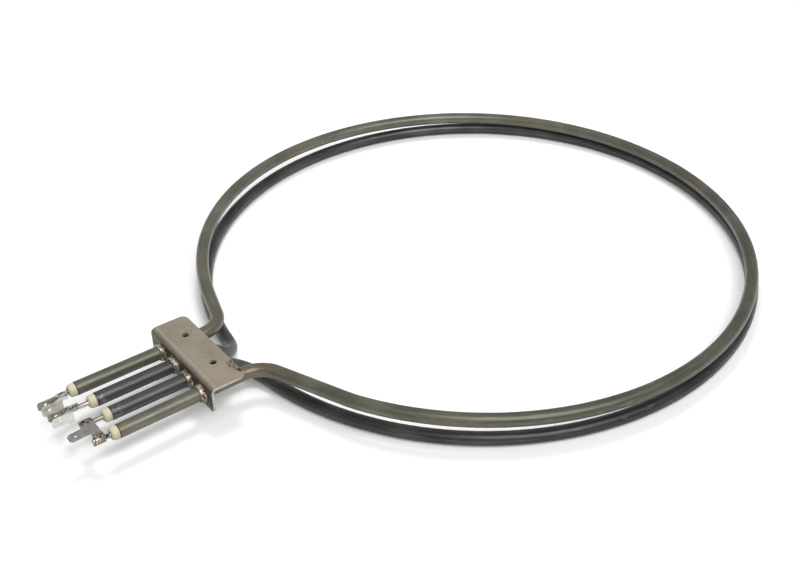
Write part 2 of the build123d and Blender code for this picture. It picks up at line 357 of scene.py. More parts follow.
ring_radius = 175.0 * mm
upper_ring = Vector((leg_offset, 199.6 * mm, -6.2 * mm))
lower_ring = Vector((leg_offset, 202.3 * mm, -18.2 * mm))
ring_lean = radians(1.22)
leg_lengths = [52.5 * mm, 47.8 * mm, 46.5 * mm, 49.5 * mm]
leg_tips = [place - Vector((0, length, 0)) for place, length in zip(leg_places, leg_lengths)]
leg_bend_radius = 17.0 * mm
upper_slopes = [radians(17.2), radians(19.5)]
lower_slope = radians(10.0)
dive_run = 17.6 * mm
dive_drop = 12.1 * mm
dive_bend_radius = 14.0 * mm
tube_wall = 0.6 * mm
tip_taper = (0.955, 0.975, 0.99)
taper_stops = (0, 0.25 * mm, 0.5 * mm, 0.8 * mm)
ring_step = 1.6  # degrees, between points on a ring


def corner_arc(before, corner, after, radius=None, tangent=None, step=4.0):
    """Points that round one corner of a route, given the arc's radius or where it starts.
    A step is the most that they turn by, in degrees."""
    back = (before - corner).normalized()
    onward = (after - corner).normalized()
    half_angle = back.angle(onward) / 2
    if tangent is None:
        tangent = radius / tan(half_angle)
    else:
        radius = tangent * tan(half_angle)
    centre = corner + (back + onward).normalized() * (radius / sin(half_angle))
    spoke = corner + back * tangent - centre
    axis = spoke.cross(corner + onward * tangent - centre).normalized()
    turn = pi - 2 * half_angle
    steps = max(3, round(turn / radians(step)))
    return [centre + Matrix.Rotation(turn * n / steps, 3, axis) @ spoke for n in range(steps + 1)]


def heater_route(ring_centre, lean, shoulder_angles, shoulder_tangents, corners_of, legs):
    """The centreline of one heater, from the end of one leg round to the end of the other.
    A shoulder is where a side leaves its ring, at an angle in degrees from the legs."""
    tilt = Matrix.Rotation(lean, 3, "X")

    def on_ring(angle, x=0.0, y=0.0):
        return ring_centre + tilt @ Vector(
            (ring_radius * sin(angle) + x, -ring_radius * cos(angle) + y, 0)
        )

    sides = []
    for side, leg in enumerate(legs):
        angle, tangent = radians(shoulder_angles[side]), shoulder_tangents[side]
        outwards = 2 * side - 1
        ring_end = on_ring(outwards * angle)
        shoulder = on_ring(
            outwards * angle, -outwards * tangent * cos(angle), -tangent * sin(angle)
        )
        tip = leg_tips[leg]
        corners = corners_of(side, tip, shoulder)
        stops = [tip] + [corner for corner, radius in corners] + [shoulder]
        points = [tip + Vector((0, reach, 0)) for reach in taper_stops]
        for (corner, radius), before, after in zip(corners, stops, stops[2:]):
            points += corner_arc(before, corner, after, radius=radius)
        points += corner_arc(stops[-2], shoulder, ring_end, tangent=tangent, step=ring_step)
        sides.append(points)
    turn = 2 * pi - radians(sum(shoulder_angles))
    steps = round(turn / radians(ring_step))
    ring = [on_ring(-radians(shoulder_angles[0]) - turn * n / steps) for n in range(1, steps)]
    return sides[0] + ring + sides[1][::-1]


def upper_corners(side, tip, shoulder):
    """An upper leg bends once, out towards its ring."""
    run = abs(shoulder.x - tip.x) * tan(upper_slopes[side])
    return [(Vector((tip.x, shoulder.y - run, tip.z)), leg_bend_radius)]


def lower_corners(side, tip, shoulder):
    """A lower leg dives behind the bracket first, and bends out where it is level again."""
    run = abs(shoulder.x - tip.x) * tan(lower_slope)
    bend = Vector((tip.x, shoulder.y - run, tip.z - dive_drop))
    dive = Vector((tip.x, bend.y - dive_run, tip.z))
    return [(dive, dive_bend_radius), (bend, leg_bend_radius)]


def sheath_tree():
    """Geometry Nodes that draw a tube along a route, and keep on it where each point lies:
    the distance along the tube, then the place across it."""
    tree = bpy.data.node_groups.new("sheath along a route", "GeometryNodeTree")
    face = tree.interface
    face.new_socket("Route", in_out="INPUT", socket_type="NodeSocketGeometry")
    face.new_socket("Tube radius", in_out="INPUT", socket_type="NodeSocketFloat")
    face.new_socket("Sides", in_out="INPUT", socket_type="NodeSocketInt")
    face.new_socket("Finish", in_out="INPUT", socket_type="NodeSocketMaterial")
    face.new_socket("Sheath", in_out="OUTPUT", socket_type="NodeSocketGeometry")
    nodes, links = tree.nodes, tree.links
    given = nodes.new("NodeGroupInput")
    made = nodes.new("NodeGroupOutput")
    along = nodes.new("GeometryNodeCaptureAttribute")
    along.capture_items.new("FLOAT", "Distance")
    along_place = nodes.new("GeometryNodeSplineParameter")
    links.new(given.outputs["Route"], along.inputs[0])
    links.new(along_place.outputs["Length"], along.inputs[1])
    ring = nodes.new("GeometryNodeCurvePrimitiveCircle")
    links.new(given.outputs["Sides"], ring.inputs["Resolution"])
    links.new(given.outputs["Tube radius"], ring.inputs["Radius"])
    across = nodes.new("GeometryNodeCaptureAttribute")
    across.capture_items.new("VECTOR", "Across")
    links.new(ring.outputs["Curve"], across.inputs[0])
    links.new(nodes.new("GeometryNodeInputPosition").outputs[0], across.inputs[1])
    tube = nodes.new("GeometryNodeCurveToMesh")
    links.new(along.outputs[0], tube.inputs["Curve"])
    links.new(across.outputs[0], tube.inputs["Profile Curve"])
    parts = nodes.new("ShaderNodeSeparateXYZ")
    links.new(across.outputs[1], parts.inputs[0])
    place = nodes.new("ShaderNodeCombineXYZ")
    links.new(along.outputs[1], place.inputs[0])
    links.new(parts.outputs[0], place.inputs[1])
    links.new(parts.outputs[1], place.inputs[2])
    keep = nodes.new("GeometryNodeStoreNamedAttribute")
    keep.data_type = "FLOAT_VECTOR"
    keep.domain = "POINT"
    keep.inputs["Name"].default_value = "sheath_place"
    links.new(tube.outputs["Mesh"], keep.inputs["Geometry"])
    links.new(place.outputs[0], keep.inputs["Value"])
    smooth = nodes.new("GeometryNodeSetShadeSmooth")
    links.new(keep.outputs["Geometry"], smooth.inputs["Geometry"])
    real = nodes.new("GeometryNodeRealizeInstances")
    links.new(smooth.outputs["Geometry"], real.inputs["Geometry"])
    paint = nodes.new("GeometryNodeSetMaterial")
    links.new(real.outputs["Geometry"], paint.inputs["Geometry"])
    links.new(given.outputs["Finish"], paint.inputs["Material"])
    links.new(paint.outputs["Geometry"], made.inputs["Sheath"])
    return tree


def set_inputs(modifier, **values):
    """Sets a tree's inputs by their names, through the sockets' identifiers."""
    for socket in modifier.node_group.interface.items_tree:
        name = socket.name.replace(" ", "_").lower()
        if socket.in_out == "INPUT" and name in values:
            modifier[socket.identifier] = values[name]


def sheath(name, points, finish):
    """A tube drawn along its route, a little swaged at both tips, and given its wall."""
    route = bpy.data.curves.new(name, "CURVE")
    route.dimensions = "3D"
    spline = route.splines.new("POLY")
    spline.points.add(len(points) - 1)
    for number, (stop, point) in enumerate(zip(spline.points, points)):
        stop.co = point.to_4d()
        from_end = min(number, len(points) - 1 - number)
        stop.radius = tip_taper[from_end] if from_end < len(tip_taper) else 1.0
    draft = bpy.data.objects.new(name + " draft", route)
    bpy.context.scene.collection.objects.link(draft)
    drawn = draft.modifiers.new("drawn tube", "NODES")
    drawn.node_group = sheaths
    set_inputs(drawn, tube_radius=tube_radius, sides=40, finish=finish)
    tube = finished_piece(name + " skin", draft)
    wall = tube.modifiers.new("tube wall", "SOLIDIFY")
    wall.thickness = tube_wall
    wall.offset = -1
    rim = tube.modifiers.new("eased rim", "BEVEL")
    rim.width = 0.15 * mm
    rim.segments = 2
    rim.limit_method = "ANGLE"
    rim.angle_limit = radians(60)
    return finished_piece(name, tube)


def oxidised(name, dark, middle, light, streak, scuff, heat, heat_places, scuff_places, tips):
    """Satin tube steel, streaked along the tube, clouded by heat, scuffed in places, and
    browned at its cut rims."""
    finish = new_finish(name)

    def along_tube(scale, detail, stretch=1, roughness=0.5):
        return pattern(finish, scale, detail, (stretch, 1, 1), "sheath_place", roughness)

    lines = along_tube(900, 4.0, 0.022, 0.6)
    colour = blend(finish, spread(finish, lines, 0.15, 0.85), dark, middle)
    clouds = spread(finish, along_tube(26, 3.0), 0.40, 0.68)
    colour = blend(finish, clouds, colour, light)
    warm = spread(finish, along_tube(11, 2.0), 0.42, 0.66)
    colour = tinted(finish, colour, warm, 0.36, heat)
    for place, inner, outer, strength, tint in heat_places:
        colour = tinted(finish, colour, near(finish, place, inner, outer), strength, tint)
    dashes = spread(finish, along_tube(1300, 3.0, 0.05), 0.59, 0.67)
    colour = tinted(finish, colour, dashes, 0.3, streak)
    marks = spread(finish, along_tube(420, 6.0, 0.25), 0.66, 0.74)
    colour = tinted(finish, colour, marks, 0.35, scuff)
    rubbed = spread(finish, along_tube(800, 5.0, 0.5), 0.50, 0.62)
    for place, reach in scuff_places:
        share = product(finish, near(finish, place, reach * 0.3, reach), rubbed)
        colour = tinted(finish, colour, share, 0.75, scuff)
    for tip in tips:
        rim = near(finish, tip, 0.45 * mm, 0.85 * mm, (0.1, 1, 0.1))
        colour = tinted(finish, colour, rim, 0.85, (0.06, 0.035, 0.015))
    roughness = spread(finish, lines, 0.3, 0.7, 0.28, 0.42)
    return surface(finish, 0.45, colour, roughness, lines, 0.010 * mm)


sheaths = sheath_tree()
# Both sheaths darken towards the rings' right side, round this place.
near_side = Vector((174 * mm, 220 * mm, -10 * mm))
tint_on_leg_4 = leg_tips[3] + Vector((3.6 * mm, 8.5 * mm, 1 * mm))
tip_scuff = Vector((3 * mm, 3 * mm, 2 * mm))
upper_finish = oxidised(
    "olive oxidised steel",
    dark=(0.102, 0.103, 0.078),
    middle=(0.164, 0.164, 0.129),
    light=(0.200, 0.198, 0.160),
    streak=(0.34, 0.33, 0.27),
    scuff=(0.33, 0.32, 0.27),
    heat=(0.19, 0.155, 0.10),
    heat_places=[
        (near_side, 70 * mm, 300 * mm, 0.36, (0.020, 0.022, 0.015)),
        (Vector((40 * mm, 15 * mm, -8 * mm)), 8 * mm, 24 * mm, 0.75, (0.205, 0.165, 0.115)),
        (Vector((-27 * mm, 14 * mm, -8 * mm)), 6 * mm, 18 * mm, 0.75, (0.20, 0.165, 0.11)),
        (tint_on_leg_4, 0.5 * mm, 3.4 * mm, 0.75, (0.15, 0.190, 0.180)),
    ],
    scuff_places=[(Vector((-28 * mm, 18 * mm, -4 * mm)), 8 * mm)],
    tips=[leg_tips[0], leg_tips[3]],
)
lower_finish = oxidised(
    "graphite oxidised steel",
    dark=(0.038, 0.040, 0.038),
    middle=(0.068, 0.071, 0.068),
    light=(0.094, 0.098, 0.095),
    streak=(0.22, 0.22, 0.21),
    scuff=(0.27, 0.27, 0.26),
    heat=(0.085, 0.08, 0.075),
    heat_places=[
        (near_side, 70 * mm, 300 * mm, 0.36, (0.010, 0.011, 0.011)),
        (Vector((12 * mm, 24 * mm, -15 * mm)), 14 * mm, 42 * mm, 0.75, (0.118, 0.124, 0.126)),
        (Vector((leg_offset, -42 * mm, -9 * mm)), 16 * mm, 34 * mm, 0.75, (0.092, 0.095, 0.092)),
    ],
    scuff_places=[(leg_tips[1] + tip_scuff, 5 * mm), (leg_tips[2] + tip_scuff, 5 * mm)],
    tips=[leg_tips[1], leg_tips[2]],
)
upper_route = heater_route(
    upper_ring, 0.0, (76.4, 31.0), (97.0 * mm, 8.0 * mm), upper_corners, (0, 3)
)
lower_route = heater_route(
    lower_ring, ring_lean, (11.5, 11.5), (4.0 * mm, 4.0 * mm), lower_corners, (1, 2)
)
upper_heater = sheath("upper_heater", upper_route, upper_finish)
lower_heater = sheath("lower_heater", lower_route, lower_finish)
for heater, node in ((upper_heater, "upper_sheath"), (lower_heater, "lower_sheath")):
    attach(heater, "root")
    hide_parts(node)

# ---- brazed ferrules ----
# Where each leg leaves the flange, a collar of braze metal was run in and hammered down
# round the tube. It is a pinkish silver, with brown flux left in its dents.


def turned(name, profile, sides):
    """A closed form turned about Y, from pairs of a radius and a place along the leg in mm.
    The profile runs from centre to centre, or back to its own start."""
    form = bmesh.new()
    rows = []
    spokes = [2 * pi * n / sides for n in range(sides)]
    for radius, along in ((r * mm, a * mm) for r, a in profile):
        if radius == 0:
            rows.append([form.verts.new((0, -along, 0))] * sides)
            continue
        rows.append([form.verts.new((radius * cos(a), -along, radius * sin(a))) for a in spokes])
    if profile[0] == profile[-1]:
        for corner in rows[-1]:
            form.verts.remove(corner)
        rows[-1] = rows[0]
    for row, next_row in zip(rows, rows[1:]):
        for n in range(sides):
            m = (n + 1) % sides
            corners = []
            for corner in (row[n], row[m], next_row[m], next_row[n]):
                if corner not in corners:
                    corners.append(corner)
            form.faces.new(corners)
    bmesh.ops.recalc_face_normals(form, faces=form.faces[:])
    mesh = bpy.data.meshes.new(name)
    form.to_mesh(mesh)
    form.free()
    mesh.shade_smooth()
    master = bpy.data.objects.new(name + " form", mesh)
    bpy.context.scene.collection.objects.link(master)
    return master


def repeated_tree():
    """Geometry Nodes that put one form on each place, turned about its leg by a seed, and
    dent it with a noise that differs from place to place."""
    tree = bpy.data.node_groups.new("form on each leg", "GeometryNodeTree")
    face = tree.interface
    face.new_socket("Places", in_out="INPUT", socket_type="NodeSocketGeometry")
    face.new_socket("Form", in_out="INPUT", socket_type="NodeSocketObject")
    face.new_socket("Dent depth", in_out="INPUT", socket_type="NodeSocketFloat")
    face.new_socket("Dents per metre", in_out="INPUT", socket_type="NodeSocketFloat")
    face.new_socket("Seed", in_out="INPUT", socket_type="NodeSocketInt")
    face.new_socket("Finish", in_out="INPUT", socket_type="NodeSocketMaterial")
    face.new_socket("Pieces", in_out="OUTPUT", socket_type="NodeSocketGeometry")
    nodes, links = tree.nodes, tree.links
    given = nodes.new("NodeGroupInput")
    made = nodes.new("NodeGroupOutput")
    form = nodes.new("GeometryNodeObjectInfo")
    links.new(given.outputs["Form"], form.inputs["Object"])
    turn = nodes.new("FunctionNodeRandomValue")
    turn.data_type = "FLOAT"
    turn.inputs[3].default_value = 2 * pi
    links.new(given.outputs["Seed"], turn.inputs["Seed"])
    about_leg = nodes.new("ShaderNodeCombineXYZ")
    links.new(turn.outputs[1], about_leg.inputs["Y"])
    put = nodes.new("GeometryNodeInstanceOnPoints")
    links.new(given.outputs["Places"], put.inputs["Points"])
    links.new(form.outputs["Geometry"], put.inputs["Instance"])
    links.new(about_leg.outputs[0], put.inputs["Rotation"])
    real = nodes.new("GeometryNodeRealizeInstances")
    links.new(put.outputs["Instances"], real.inputs["Geometry"])
    noise = nodes.new("ShaderNodeTexNoise")
    noise.inputs["Detail"].default_value = 1.5
    links.new(nodes.new("GeometryNodeInputPosition").outputs[0], noise.inputs["Vector"])
    links.new(given.outputs["Dents per metre"], noise.inputs["Scale"])
    level = nodes.new("ShaderNodeMath")
    level.operation = "SUBTRACT"
    level.inputs[1].default_value = 0.5
    links.new(noise.outputs["Fac"], level.inputs[0])
    depth = nodes.new("ShaderNodeMath")
    depth.operation = "MULTIPLY"
    links.new(level.outputs[0], depth.inputs[0])
    links.new(given.outputs["Dent depth"], depth.inputs[1])
    offset = nodes.new("ShaderNodeVectorMath")
    offset.operation = "SCALE"
    links.new(nodes.new("GeometryNodeInputNormal").outputs[0], offset.inputs[0])
    links.new(depth.outputs[0], offset.inputs["Scale"])
    dent = nodes.new("GeometryNodeSetPosition")
    links.new(real.outputs["Geometry"], dent.inputs["Geometry"])
    links.new(offset.outputs[0], dent.inputs["Offset"])
    paint = nodes.new("GeometryNodeSetMaterial")
    links.new(dent.outputs["Geometry"], paint.inputs["Geometry"])
    links.new(given.outputs["Finish"], paint.inputs["Material"])
    links.new(paint.outputs["Geometry"], made.inputs["Pieces"])
    return tree


repeats = repeated_tree()


def on_each_leg(name, form, places, finish, nodes, dent_depth=0.0, dents=600.0, seed=1):
    """One form repeated on the legs, as one plain mesh that replaces the legs' nodes."""
    mesh = bpy.data.meshes.new(name)
    mesh.from_pydata([tuple(place) for place in places], [], [])
    draft = bpy.data.objects.new(name + " draft", mesh)
    bpy.context.scene.collection.objects.link(draft)
    repeat = draft.modifiers.new("repeat", "NODES")
    repeat.node_group = repeats
    set_inputs(
        repeat, form=form, dent_depth=dent_depth, dents_per_metre=dents, seed=seed, finish=finish
    )
    pieces = finished_piece(name, draft)
    bpy.data.objects.remove(form)
    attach(pieces, "root")
    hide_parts(*nodes)


ferrule_profile = [
    (3.95, 0.0), (5.60, 0.0), (5.35, 0.25), (5.10, 0.6), (5.02, 1.0), (5.08, 1.5), (5.05, 2.0),
    (4.92, 2.4), (4.65, 2.7), (4.3, 2.75), (4.08, 2.5), (3.95, 1.9), (3.95, 0.0),
]


def braze_metal():
    """Pinkish silver on the crests of the dents, and darker with flux between them."""
    finish = new_finish("hammered braze metal")
    crests = spread(finish, pattern(finish, 430, 2.5), 0.36, 0.64)
    colour = blend(finish, crests, (0.20, 0.148, 0.105), (0.60, 0.54, 0.45))
    flux = spread(finish, pattern(finish, 640, 4.0), 0.54, 0.62)
    colour = blend(finish, flux, colour, (0.085, 0.055, 0.035))
    roughness = spread(finish, crests, 0.0, 1.0, 0.42, 0.24)
    return surface(finish, 0.6, colour, roughness, crests, 0.12 * mm)


on_each_leg(
    "ferrules",
    turned("ferrule", ferrule_profile, 56),
    leg_places,
    braze_metal(),
    [f"ferrule_{leg}" for leg in range(1, 5)],
    dent_depth=0.40 * mm,
    dents=480.0,
    seed=3,
)

# ---- ceramic beads and terminal pins ----
# A cream steatite bead closes each leg and holds its pin clear of the sheath. The pins are
# nickel-plated steel, scraped where the tabs were welded on.

bead_profile = [
    (1.42, -2.5), (3.2, -2.5), (3.3, -0.2), (3.68, 0.0), (3.76, 0.35), (3.76, 2.3), (3.68, 2.9),
    (3.45, 3.45), (3.05, 3.9), (2.6, 4.15), (2.1, 4.28), (1.75, 4.25), (1.62, 4.0), (1.6, 3.2),
    (1.42, 3.1), (1.42, -2.5),
]
bead_length = 4.3 * mm


def steatite():
    """Cream clay with fine specks, stained at the sheath's rim, and darker round the pin's hole."""
    finish = new_finish("cream steatite")
    clay = spread(finish, pattern(finish, 210, 4.0), 0.3, 0.7)
    colour = blend(finish, clay, (0.66, 0.62, 0.43), (0.71, 0.60, 0.44))
    specks = spread(finish, pattern(finish, 2600, 3.0), 0.66, 0.74)
    colour = tinted(finish, colour, specks, 0.5, (0.36, 0.28, 0.17))
    for tip in leg_tips:
        stain = near(finish, tip, 0.1 * mm, 0.5 * mm, (0.05, 1, 0.05))
        colour = tinted(finish, colour, stain, 0.5, (0.24, 0.18, 0.08))
        # The end face darkens round the pin's hole.
        outer_end = tip - Vector((0, bead_length, 0))
        mouth = near(finish, outer_end, 1.5 * mm, 2.1 * mm, (1, 0.5, 1))
        colour = tinted(finish, colour, mouth, 0.7, (0.20, 0.13, 0.06))
    roughness = spread(finish, clay, 0, 1, 0.42, 0.6)
    return surface(finish, 0.0, colour, roughness, clay, 0.03 * mm)


on_each_leg(
    "ceramic_beads",
    turned("bead", bead_profile, 48),
    leg_tips,
    steatite(),
    [f"ceramic_bead_{leg}" for leg in range(1, 5)],
    dent_depth=0.10 * mm,
    dents=300.0,
    seed=5,
)

# Lists of numbers for the pins are in mm, and places run outwards from the flange.
pin_radius, crimp_radius = 1.35, 1.12
pin_inner_end, pin_outer_end = -12.5, 63.5
crimps = [54.6 + 0.95 * n for n in range(4)]
pin_start = [(0, pin_inner_end), (1.2, pin_inner_end), (pin_radius, pin_inner_end + 0.15)]
pin_start += [(pin_radius, 40.0)]
pin_end = [(pin_radius, pin_outer_end - 0.3), (1.05, pin_outer_end), (0, pin_outer_end)]
rings = []
for crimp in crimps:
    rings += [(1.37, crimp - 0.36), (pin_radius, crimp - 0.2)]
    rings += [(crimp_radius, crimp), (pin_radius, crimp + 0.2)]
plain_pin = pin_start + pin_end
ringed_pin = pin_start + rings + pin_end
weld_marks = [(0, 60.0 * mm, 5.0 * mm), (1, 61.8 * mm, 3.6 * mm), (3, 56.0 * mm, 3.0 * mm)]


def pin_steel():
    """Steel scraped along the pin, black at its welds with molten metal and painted glints there, and
    dark in its crimps.
    """
    finish = new_finish("scraped pin steel")
    scrape = pattern(finish, 1300, 3.0, (1, 0.04, 1))
    scraped = spread(finish, scrape, 0.35, 0.65)
    colour = blend(finish, scraped, (0.29, 0.27, 0.235), (0.62, 0.60, 0.55))
    blots = spread(finish, pattern(finish, 760, 2.5), 0.48, 0.53)
    molten_and_glints = spread(finish, pattern(finish, 820, 2.0), 0.54, 0.59)
    for leg, along, reach in weld_marks:
        place = leg_places[leg] - Vector((0, along, 0))
        smoke = near(finish, place, reach * 0.6, reach, (1, 0.8, 1))
        colour = tinted(finish, colour, smoke, blots, (0.035, 0.026, 0.02))
        # Bright spots at the welds: molten metal, with painted glints.
        colour = tinted(finish, colour, smoke, molten_and_glints, (0.92, 0.90, 0.85))
    for crimp in crimps:
        place = leg_places[3] - Vector((0, crimp * mm, 0))
        groove = near(finish, place, 0.12 * mm, 0.34 * mm, (0.05, 1, 0.05))
        colour = tinted(finish, colour, groove, 0.9, (0.02, 0.014, 0.01))
    return surface(finish, 0.9, colour, spread(finish, scrape, 0.3, 0.7, 0.34, 0.20))


scraped_steel = pin_steel()
for name, profile, legs in (("plain_pins", plain_pin, (0, 1, 2)), ("ringed_pin", ringed_pin, (3,))):
    on_each_leg(
        name,
        turned(name, profile, 28),
        [leg_places[leg] for leg in legs],
        scraped_steel,
        [f"terminal_pin_{leg + 1}" for leg in legs],
    )

# ---- double tabs ----
# Legs 1 and 2 each carry two blades stamped and folded from one 0.8 mm nickel-plated strip.
# The rear blade's neck is spot-welded to the pin, which has scorched it.

tab_sheet = 0.8 * mm
blade_width = 6.3 * mm
blade_length = 12.0 * mm
blade_corner = 1.1 * mm
blade_hole_radius = 0.9 * mm
blade_hole_place = 4.4 * mm
strip_edge_break = 0.14 * mm
tab_tip = flange_face - 74.8 * mm
neck_end = 17.0 * mm
fold_middle = 1.2 * mm
fold_run = fold_middle * pi / 2
blade_gap = 6.0 * mm
web_width = blade_gap - 2 * fold_middle
rear_top = 0.9 * mm
front_foot = blade_width + 2 * fold_run + web_width
front_top = front_foot + blade_width
weld_setbacks = (0.8 * mm, 4.2 * mm)
weld_height = 1.2 * mm


def tab_steel(
    name, dull, bright, welds=(), reach=0.0, heat_tint=None, melt_and_glint_tint=None, reflection_places=()
):
    """Plated strip, smudged, with scorch round its welds, bright molten metal with painted glints,
    and painted reflection near any places given.
    """
    finish = new_finish(name)
    smudge = pattern(finish, 330, 5.0)
    colour = blend(finish, spread(finish, smudge, 0.36, 0.64), dull, bright)
    black = spread(finish, pattern(finish, 760, 2.5), 0.49, 0.54)
    silver = spread(finish, pattern(finish, 820, 2.0), 0.56, 0.61)
    for weld in welds:
        heat = near(finish, weld, reach * 0.6, reach, (1, 0.6, 1))
        colour = tinted(finish, colour, heat, 0.85, heat_tint)
        colour = tinted(finish, colour, heat, black, (0.022, 0.017, 0.014))
        # Bright spots at the welds: molten metal, with painted glints.
        colour = tinted(finish, colour, heat, silver, melt_and_glint_tint)
    # A near-white patch near each place given: painted reflection on the blade's face.
    for place in reflection_places:
        painted_reflection = near(finish, place, 1.5 * mm, 2.1 * mm, (0.2, 0.38, 1))
        colour = blend(finish, painted_reflection, colour, (0.92, 0.91, 0.86))
    lines = pattern(finish, 1400, 4.0, (1, 0.1, 1))
    roughness = spread(finish, lines, 0.3, 0.7, 0.3, 0.44)
    return surface(finish, 0.5, colour, roughness, lines, 0.008 * mm)


cut_finish = tab_steel("cut strip edge", (0.46, 0.45, 0.40), (0.66, 0.64, 0.58))


def double_tab(name, leg, pin_side, neck, reflected_tones, shift=(0, 0)):
    """A rear blade against the pin's side, a web under it and a front blade. Two places
    across the blank bound the neck, and a shift moves the tab in X and Y."""
    rear = leg_places[leg].x + pin_side * (pin_radius * mm + tab_sheet / 2) + shift[0]
    front = rear + blade_gap
    tip = tab_tip + shift[1]
    foot = -legs_below_plate - blade_width / 2

    def fold(across, along, depth):
        """Across runs from the rear blade's top down, over the web and up the front blade."""
        inwards = depth - tab_sheet / 2
        if across <= blade_width:
            x, z, normal = rear, foot + blade_width - across, (1, 0)
        elif across <= blade_width + fold_run:
            turn = (across - blade_width) / fold_middle
            x, z = rear + fold_middle * (1 - cos(turn)), foot - fold_middle * sin(turn)
            normal = (cos(turn), sin(turn))
        elif across <= blade_width + fold_run + web_width:
            x = rear + across - blade_width - fold_run + fold_middle
            z, normal = foot - fold_middle, (0, 1)
        elif across <= front_foot:
            turn = (across - blade_width - fold_run - web_width) / fold_middle
            x, z = front - fold_middle * (1 - sin(turn)), foot - fold_middle * cos(turn)
            normal = (-sin(turn), cos(turn))
        else:
            x, z, normal = front, foot + across - front_foot, (-1, 0)
        return Vector((x + normal[0] * inwards, tip + along, z + normal[1] * inwards))

    outline = [
        (rear_top + blade_corner, 0), (blade_width - blade_corner, 0), (blade_width, blade_corner),
        (blade_width, 9 * mm), (front_foot, 9 * mm), (front_foot, blade_corner),
        (front_foot + blade_corner, 0), (front_top - blade_corner, 0), (front_top, blade_corner),
        (front_top, blade_length), (neck[1], blade_length), (neck[1], neck_end),
        (neck[0], neck_end), (neck[0], blade_length), (rear_top, blade_length),
        (rear_top, blade_corner),
    ]
    holes = [
        pierced(((rear_top + blade_width) / 2, blade_hole_place), blade_hole_radius, 20),
        pierced(((front_foot + front_top) / 2, blade_hole_place), blade_hole_radius, 20),
    ]
    rows = [blade_width + fold_run * step / 5 for step in range(6)]
    rows += [front_foot - fold_run * step / 5 for step in range(6)]
    creases = [("across", row) for row in rows]
    tab = folded_sheet(name, outline, holes, creases, tab_sheet, fold, strip_edge_break)
    welds = [
        Vector((leg_places[leg].x, tip + neck_end - setback, -legs_below_plate + weld_height))
        for setback in weld_setbacks
    ]
    scorched = tab_steel(
        f"{name} scorched strip",
        dull=(0.22, 0.197, 0.168),
        bright=(0.41, 0.375, 0.325),
        welds=welds,
        reach=3.4 * mm,
        heat_tint=(0.40, 0.37, 0.33),
        melt_and_glint_tint=(0.92, 0.90, 0.85),
        # Painted reflection on the rear blade, below its neck.
        reflection_places=[welds[0] - Vector((0, 3.0 * mm, 3.0 * mm))],
    )
    # The web and front blade get a brighter copy of the plated strip: painted reflection of the white
    # floor.
    reflected = tab_steel(f"{name} clean strip", *reflected_tones)
    for finish in (scorched, cut_finish, reflected):
        tab.data.materials.append(finish)
    for face in tab.data.polygons:
        if face.material_index == 0 and face.center.x > rear + tab_sheet:
            face.material_index = 2
    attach(tab, "root")
    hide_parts(f"double_tab_{leg + 1}")


# Painted reflection: the front blades' tones, the second tab's brighter than the first's.
grey_reflection = ((0.56, 0.54, 0.49), (0.74, 0.72, 0.66))
bright_reflection = ((0.80, 0.79, 0.73), (0.94, 0.93, 0.87))
double_tab("tab_pair_1", 0, 1, (2.0 * mm, 5.9 * mm), grey_reflection)
double_tab(
    "tab_pair_2", 1, -1, (1.2 * mm, 4.8 * mm), bright_reflection, shift=(0.35 * mm, 0.7 * mm)
)

# ---- bridge ----
# One flat strip joins pins 3 and 4. Its ends are curled round the pins and welded, which
# has left coppery scorch, and a blade stands out of its middle.

bridge_edge = flange_face - 56.9 * mm
bridge_width = 6.4 * mm
bridge_blade = 10.1 * mm
bridge_tip = bridge_edge - bridge_width - bridge_blade
blade_droop = 0.07
waist = 1.1 * mm
curl_middle = 2.1 * mm
curl_run = radians(215) * curl_middle
curl_z = -legs_below_plate + 0.35 * mm
pin_gap = leg_places[3].x - leg_places[2].x
bridge_span = 2 * curl_run + pin_gap
bridge_top = curl_z + curl_middle


def fold_bridge(across, along, depth):
    """Across runs along the strip, from one curl's end to the other's; depth goes down."""
    y = bridge_tip + along
    droop = blade_droop * max(0, bridge_blade - along)
    reach = curl_middle + tab_sheet / 2 - depth
    if across < curl_run:
        turn = (curl_run - across) / curl_middle
        return Vector((leg_places[2].x - reach * sin(turn), y, curl_z + reach * cos(turn)))
    if across > curl_run + pin_gap:
        turn = (across - curl_run - pin_gap) / curl_middle
        return Vector((leg_places[3].x + reach * sin(turn), y, curl_z + reach * cos(turn)))
    return Vector((leg_places[2].x + across - curl_run, y, curl_z + reach - droop))


blade_left = (bridge_span - blade_width) / 2
blade_right = (bridge_span + blade_width) / 2
left_bend, right_bend = curl_run, bridge_span - curl_run
strip_front, strip_back = bridge_blade, bridge_blade + bridge_width
bridge_outline = [
    (blade_left + 1.6 * mm, 0.5 * mm), (blade_right - 1.6 * mm, 0.5 * mm),
    (blade_right, 1.9 * mm), (blade_right, strip_front + waist),
    (right_bend - 1.2 * mm, strip_front + waist), (right_bend + 0.4 * mm, strip_front),
    (bridge_span, strip_front), (bridge_span, strip_back),
    (0, strip_back), (0, strip_front),
    (left_bend - 0.4 * mm, strip_front), (left_bend + 1.2 * mm, strip_front + waist),
    (blade_left, strip_front + waist), (blade_left, 1.9 * mm),
]
curl_rows = [curl_run * step / 16 for step in range(1, 17)]
curl_rows += [bridge_span - row for row in curl_rows]
bridge = folded_sheet(
    "bridge_strip",
    bridge_outline,
    [pierced((bridge_span / 2, blade_hole_place), blade_hole_radius, 20)],
    [("across", row) for row in curl_rows],
    tab_sheet,
    fold_bridge,
    strip_edge_break,
)
